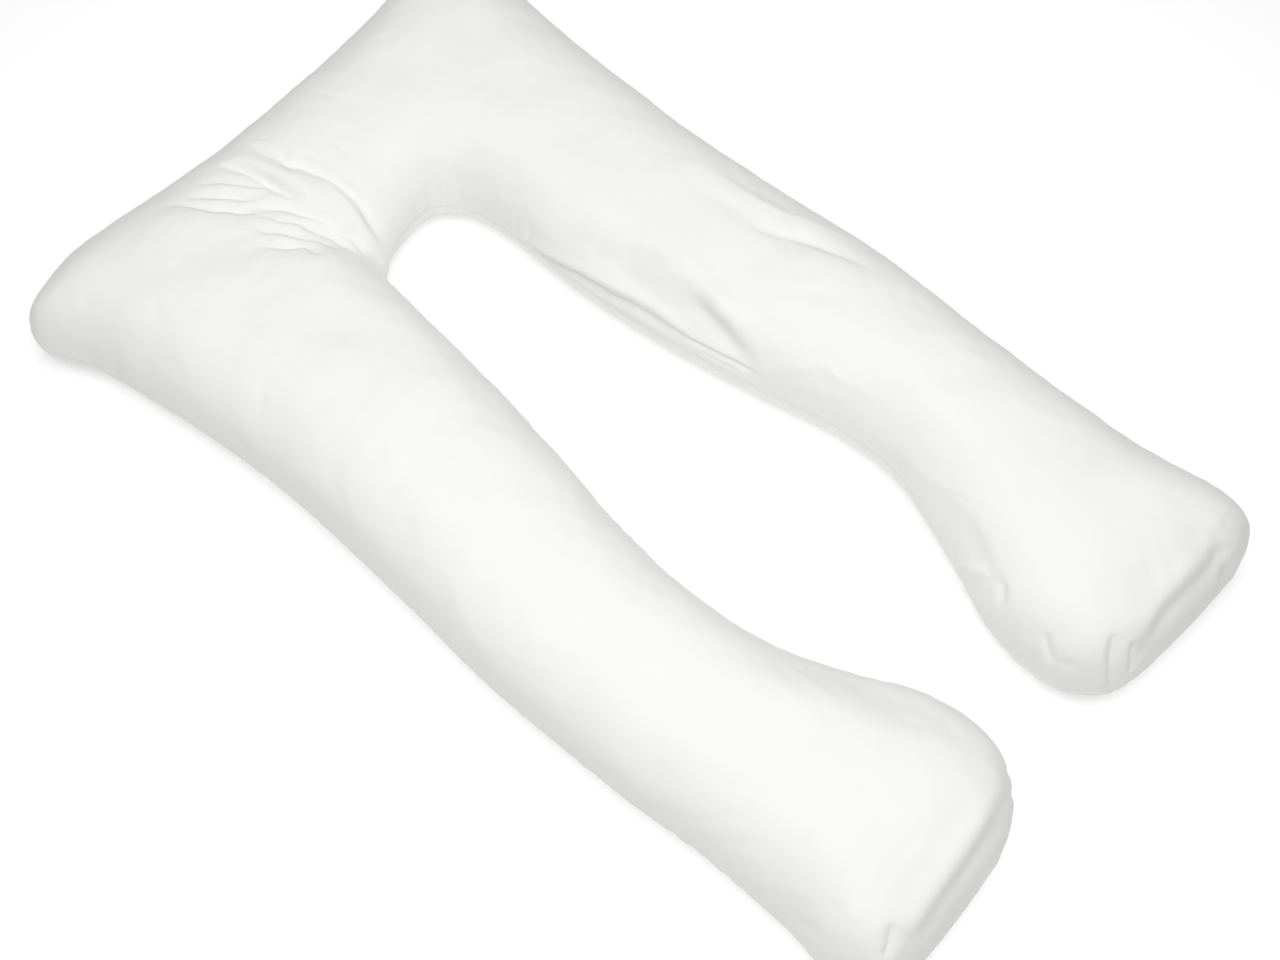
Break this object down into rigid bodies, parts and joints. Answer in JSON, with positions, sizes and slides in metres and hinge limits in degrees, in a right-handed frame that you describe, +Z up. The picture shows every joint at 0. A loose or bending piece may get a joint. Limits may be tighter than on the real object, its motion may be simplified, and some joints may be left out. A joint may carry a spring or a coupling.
{
  "type": "pregnancy pillow",
  "caption": "U-shaped full-body pregnancy pillow, plain white cloth, stuffed head bar and long legs with wider feet, sewn edge seam",
  "frame": {"origin": "middle of the pillow's outline, on the surface it lies on", "axes": "+X to the right across the two legs, +Y along the legs towards the head bar, +Z up out of the surface"},
  "size_m": [0.818, 1.354, 0.176],
  "materials": {
    "cotton_cloth": "smooth white woven cotton, matte with a faint soft sheen"
  },
  "bodies": {
    "root": {"pillow": "cotton_cloth"}
  },
  "joints": []
}
